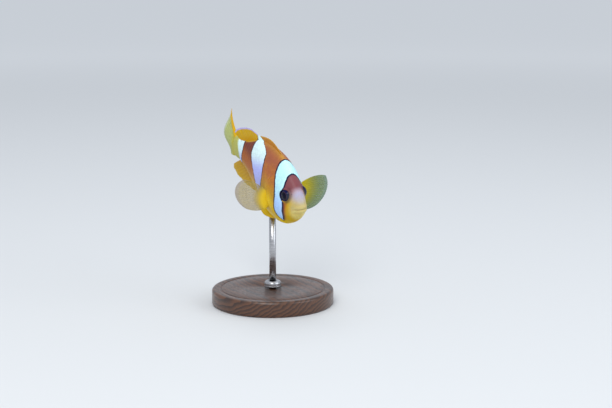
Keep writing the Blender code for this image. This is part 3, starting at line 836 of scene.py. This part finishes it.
def tail_place(across, out):
    """Rays spread from the stalk to a shallow fork. The lobes cup to the left by out squared, more so
    towards the fin's upper and lower edges, and the upper one's rays bow that way too by a half wave."""
    side = 2 * across - 1
    edge_s = 1.225 + 0.048 * np.abs(side) ** 1.6 - 0.015 * np.abs(side) ** 6
    root_z, edge_z = 0.016 + 0.078 * side, 0.014 + 0.180 * side
    cup = 0.112 * (0.58 * np.tanh(side * side / 0.5) - 0.285) * out * out
    bow = 0.015 * np.maximum(side, 0.0) * np.sin(np.pi * out)
    return 0.985 + (edge_s - 0.985) * out, cup + bow, root_z + (edge_z - root_z) * out**0.9


def pectoral_place(side, off, rise, spread, length, upper):
    """A rounded paddle: its rays leave a short upright root, spread as a fan and bend to lie together.
    Their length falls with the square of their share of the fan, and upper makes the upper ones longer."""
    off, rise = math.radians(off), math.radians(rise)

    def place(across, out):
        """Along a ray at its angle from level, in a plane held off the flank and bowed back."""
        fan = 1 - 2 * across
        angle = rise + np.radians(spread * fan) * (1 - 0.60 * out)
        root_s, root_y, root_z = PECTORAL_ROOT
        reach = length * (1 - 0.22 * fan * fan + upper * fan) * out
        flat, high = np.cos(angle) * reach, np.sin(angle) * reach
        bow = 0.10 * flat * out
        s = root_s + flat * math.cos(off) + bow * math.sin(off)
        y = root_y + flat * math.sin(off) - bow * math.cos(off)
        return s, side * y, root_z + 0.036 * fan + high

    return place


def pelvic_place(side):
    """A fan folded back close under the belly, drawn down by a parabola and splayed a little."""

    def place(across, out):
        """Along a ray, from 17 degrees down at the front of the root to 9 up at its rear."""
        root_s, root_y, root_z = 0.318 + 0.040 * across, 0.040 - 0.012 * across, -0.226
        angle = np.radians(-17 + 26 * across)
        reach = (0.215 - 0.060 * across) * (1 - 0.30 * (2 * across - 1) ** 2) * out
        s = root_s + np.cos(angle) * reach
        z = root_z + np.sin(angle) * reach - 0.030 * out * (1 - out)
        return s, side * (root_y + 0.115 * reach), z

    return place


def make_fins():
    """Every fin, with its own colours and its own count of rays."""
    gold = fin_finish(
        "fin_gold", (198, 148, 4), (210, 168, 2), (190, 182, 240), edge_from=0.90, barred=True,
    )
    amber = fin_finish("fin_amber", (192, 144, 6), (196, 154, 6), (202, 166, 30))
    lemon = fin_finish("fin_lemon", (232, 190, 10), (236, 196, 10), (222, 180, 30))
    orange = fin_finish("fin_orange", (172, 102, 44), (190, 128, 44), (204, 154, 60), barred=True)
    tail = fin_finish(
        "fin_tail", (192, 182, 56), (188, 198, 122), (198, 210, 170),
        clear=0.74, edge_from=0.90, root_to=0.50, margin=(214, 170, 28),
    )
    clear = {
        "left": ((190, 174, 20), (112, 134, 76), (112, 140, 112), 0.60, 0.90, 0.80),
        "right": ((244, 214, 50), (178, 160, 98), (170, 154, 124), 0.42, 0.90, 0.50),
    }
    clear = {name: fin_finish(f"fin_clear_{name}", *look) for name, look in clear.items()}
    spiny_edge = line_through(
        [(0.325, 0.272), (0.395, 0.295), (0.460, 0.304), (0.525, 0.295), (0.590, 0.276), (0.661, 0.251)]
    )
    spiny = between(root_line(0.300, 0.642, BACK, 0.02), spiny_edge)
    make_fin("dorsal_fin_spiny", spiny, 10, orange, (0.0095, 0.0026), fork=2.0, notch=0.035)
    soft_edge = line_through(
        [(0.668, 0.252), (0.730, 0.258), (0.800, 0.246), (0.870, 0.219), (0.940, 0.184), (0.995, 0.146),
         (1.015, 0.116)]
    )
    soft = between(root_line(0.640, 0.905, BACK, 0.02), soft_edge, 0.02)
    make_fin("dorsal_fin_soft", soft, 15, gold, notch=0.014, wave=0.002)
    anal_edge = line_through(
        [(0.655, -0.196), (0.735, -0.220), (0.825, -0.229), (0.915, -0.226), (0.990, -0.214),
         (1.040, -0.192), (1.055, -0.166)]
    )
    anal = between(root_line(0.625, 0.900, BELLY, -0.02), anal_edge, 0.02)
    make_fin("anal_fin", anal, 13, amber, notch=0.018, wave=0.002)
    make_fin("tail_fin", tail_place, 17, tail, (0.0085, 0.0018), notch=0.012, fleshy=0.012)
    for name, shape in PECTORAL.items():
        paddle, folded = pectoral_place(*shape), pelvic_place(shape[0])
        make_fin(f"pectoral_fin_{name}", paddle, 18, clear[name], (0.0120, 0.0014), notch=0.012)
        make_fin(f"pelvic_fin_{name}", folded, 6, lemon, notch=0.03)


def make_eye(side, name, finish):
    """A flattened ball, drawn as rings from the middle of its pupil, with the clear front a little raised.

    The eye mark holds the distance from the pupil's middle, 1 at the widest ring, and the ring's
    direction towards the snout."""
    polar = np.linspace(0.0, np.pi, EYE_RINGS + 2)[1:-1, None]
    angle = circle(EYE_AROUND)
    length, depth, height = EYE_SIZE
    front = depth * (1 + EYE_RAISED)
    raised = 1 + EYE_RAISED * hill(polar, 0.0, 0.75)
    ahead, up, out = np.sin(polar) * np.cos(angle), np.sin(polar) * np.sin(angle), np.cos(polar) * raised
    ball = np.stack((ahead * length, side * depth * out + 0 * angle, up * height), -1).reshape(-1, 3)
    poles = np.array([[0.0, side * front, 0.0], [0.0, -side * depth, 0.0]])
    ball = np.concatenate((ball, poles))
    turn = Euler((math.radians(EYE_UP * side), 0.0, math.radians(-EYE_FORWARD * side))).to_matrix()
    ball = ball @ np.array(turn).T
    s, y, z = EYE_AT
    p = np.stack((s - ball[:, 0], side * y + ball[:, 1], z + ball[:, 2]), -1)
    spread = np.where(polar < np.pi / 2, np.sin(polar), 1.0) + 0 * angle
    seen = np.stack((spread, ahead, up), -1).reshape(-1, 3)
    seen = np.concatenate((seen, [[0.0, 0.0, 0.0], [1.0, 0.0, 0.0]]))
    faces = [face[::-side] for face in ball_faces(EYE_RINGS, EYE_AROUND)]
    add_piece(name, pose(p), faces, finish, (name,), {"rest": p, "eye": seen})


# -------- the stand
def turned(name, radius, height, finish, slot, ripple=None):
    """A closed round piece: the profile's radius and height carried round the stand's axis.

    ripple(angle, height) is taken off the radius where it is given."""
    angle = circle(STAND_AROUND)
    radius, height = (np.array(values)[:, None] for values in (radius, height))
    reach = radius - (ripple(angle, height) if ripple else 0.0)
    p = np.stack(np.broadcast_arrays(reach * np.cos(angle), reach * np.sin(angle), height + 0 * angle), -1)
    add_piece(name, p, grid_faces(len(radius), STAND_AROUND, around=True), finish, (name,))


def profile(*pieces):
    """Profile points from several runs, as a radius list and a height list."""
    points = [point for run in pieces for point in run]
    return [r for r, _ in points], [h for _, h in points]


def round_edge(outer, top, radius):
    """A quarter circle from a piece's top face to its side."""
    angles = np.linspace(0.0, math.pi / 2, 10)
    return [(outer - radius + radius * math.sin(a), top - radius + radius * math.cos(a)) for a in angles]


def dip(middle, top, width, depth):
    """A shallow groove in a top face, its section a squared cosine."""
    shares = np.linspace(-1, 1, 9)
    return [(middle + width * t, top - depth * math.cos(math.pi * t / 2) ** 2) for t in shares]


def make_stand():
    """The base with its well and ring groove, the knurled collar and the rod, each as a closed profile
    that runs out from near the axis and back to it."""
    wood, steel = wood_finish(), steel_finish()
    axis = 0.000001
    well = ROD_RADIUS + GAP
    floor = BASE_HEIGHT - ROD_SINK
    foot, groove = 0.0004, BASE_RADIUS - 0.0032
    base = profile(
        [(axis, floor), (well, floor), (well, BASE_HEIGHT)],
        dip(groove, BASE_HEIGHT, 0.0004, 0.00025),
        round_edge(BASE_RADIUS, BASE_HEIGHT, 0.0009),
        [(BASE_RADIUS, 0.0016), (BASE_RADIUS, foot), (BASE_RADIUS - foot, 0.0), (axis, 0.0), (axis, floor)],
    )
    turned("stand_base", *base, wood, "base_wood")
    low, high = BASE_HEIGHT + GAP, BASE_HEIGHT + GAP + COLLAR_HEIGHT
    knurl_low, knurl_high = low + 0.0004, high - 0.0009
    neck, chamfer, dome = COLLAR_RADIUS - 0.0002, COLLAR_RADIUS - 0.0003, 0.0006
    collar = profile(
        [(well, low), (well, high)],
        round_edge(neck, high, dome),
        [(COLLAR_RADIUS, h) for h in np.linspace(knurl_high, knurl_low, 14)],
        [(neck, low + 0.0002), (chamfer, low), (well, low)],
    )

    def knurl(angle, height):
        """Two crossed sets of slanting grooves, 60 of each round the collar, eased in at either end."""
        cross = np.abs(np.sin(30 * angle + height * 5200)) * np.abs(np.sin(30 * angle - height * 5200))
        inside = eased(knurl_low - 1e-5, knurl_low + 1e-4, height)
        inside = inside * (1 - eased(knurl_high - 1e-4, knurl_high, height))
        return 0.00010 * (1 - cross) * inside * (height < high - dome)

    turned("stand_collar", *collar, steel, "rod_steel", knurl)
    low, high = floor + GAP, BELLY_HEIGHT + 2 * ROD_RADIUS
    rod = profile([(axis, low), (axis, high), (ROD_RADIUS, high), (ROD_RADIUS, low), (axis, low)])
    turned("stand_rod", *rod, steel, "rod_steel")


# -------- the studio
FLOOR_RADIUS, FLOOR_CORNERS = 30.0, 64
CAMERA_AROUND, CAMERA_ABOVE = 60.8, 10.0  # degrees
CAMERA_OFF = (0.00103, 0.00202, 0.400)  # right of the snout, above it and back from it, in metres
CAMERA_LENS, CAMERA_SENSOR = 71.06, 36.0  # in millimetres
# Each lamp: place, size, power and colour.
LAMPS = {
    "key": ((0.50, -0.42, 0.52), 0.45, 3.6, (1.0, 0.99, 0.97)),
    "fill": ((0.55, 0.40, 0.28), 0.60, 1.6, (0.93, 0.97, 1.0)),
    "top": ((-0.30, 0.10, 0.85), 0.60, 2.0, (0.96, 0.98, 1.0)),
}
LAMPS_AIM = (0.0, 0.0, 0.045)


def make_studio():
    """A pale floor, painted lighter far out as painted light where the lamps fall off, three soft lamps and a
    pale world round them.
    """
    mesh = bpy.data.meshes.new("floor")
    angle = circle(FLOOR_CORNERS)[0]
    ring = np.stack((np.cos(angle), np.sin(angle), 0 * angle), -1) * FLOOR_RADIUS
    mesh.from_pydata(ring.tolist(), [], [list(range(FLOOR_CORNERS))])
    floor = add_object("floor", mesh)
    finish = Finish("pale_floor")
    out = finish.distance(finish.place(), (0.0, 0.0, 0.0))
    # Painted light: the floor is painted lighter far out, where the lamps' light falls off.
    pale = finish.mix(finish.step(out, 0.3, 1.8), (0.66, 0.67, 0.68, 1.0), (0.96, 0.96, 0.96, 1.0))
    finish.set(base_color=pale, roughness=0.9, specular_ior_level=0.0)
    mesh.materials.append(finish.material)
    for name, (place, size, power, tone) in LAMPS.items():
        lamp = bpy.data.lights.new(name, "AREA")
        lamp.shape, lamp.size, lamp.energy, lamp.color = "DISK", size, power, tone
        holder = add_object(name, lamp)
        holder.location = place
        x, y, z = np.array(LAMPS_AIM) - np.array(place)
        holder.rotation_euler = Euler((math.atan2(math.hypot(x, y), -z), 0.0, math.atan2(-x, y)))
    world = bpy.data.worlds.new("studio")
    world.use_nodes = True
    sky = world.node_tree.nodes["Background"].inputs
    sky["Color"].default_value, sky["Strength"].default_value = (0.86, 0.92, 1.0, 1.0), 0.70
    bpy.context.scene.world = world
    bpy.context.scene.view_settings.view_transform = "Standard"


def make_camera():
    """Looks level across the fish from ahead of it, to its right and a little above."""
    azimuth, elevation = math.radians(CAMERA_AROUND), math.radians(CAMERA_ABOVE)
    right = np.array([math.cos(azimuth), math.sin(azimuth), 0.0])
    level = math.cos(elevation)
    back = np.array([math.sin(azimuth) * level, -math.cos(azimuth) * level, math.sin(elevation)])
    up = np.cross(back, right)
    camera = bpy.data.cameras.new("camera")
    camera.lens, camera.sensor_width, camera.clip_start = CAMERA_LENS, CAMERA_SENSOR, 0.01
    holder = add_object("camera", camera)
    holder.location = pose(np.zeros(3)) + np.array(CAMERA_OFF) @ np.stack((right, up, back))
    holder.rotation_euler = Euler((math.pi / 2 - elevation, 0.0, azimuth))
    bpy.context.scene.camera = holder


# -------- everything
make_skin(skin_finish())
scales = scale_finish()
make_scales(scales, 1, "scales_left")
make_scales(scales, -1, "scales_right")
make_fins()
eye = eye_finish()
make_eye(1, "eye_left", eye)
make_eye(-1, "eye_right", eye)
make_stand()
make_studio()
make_camera()
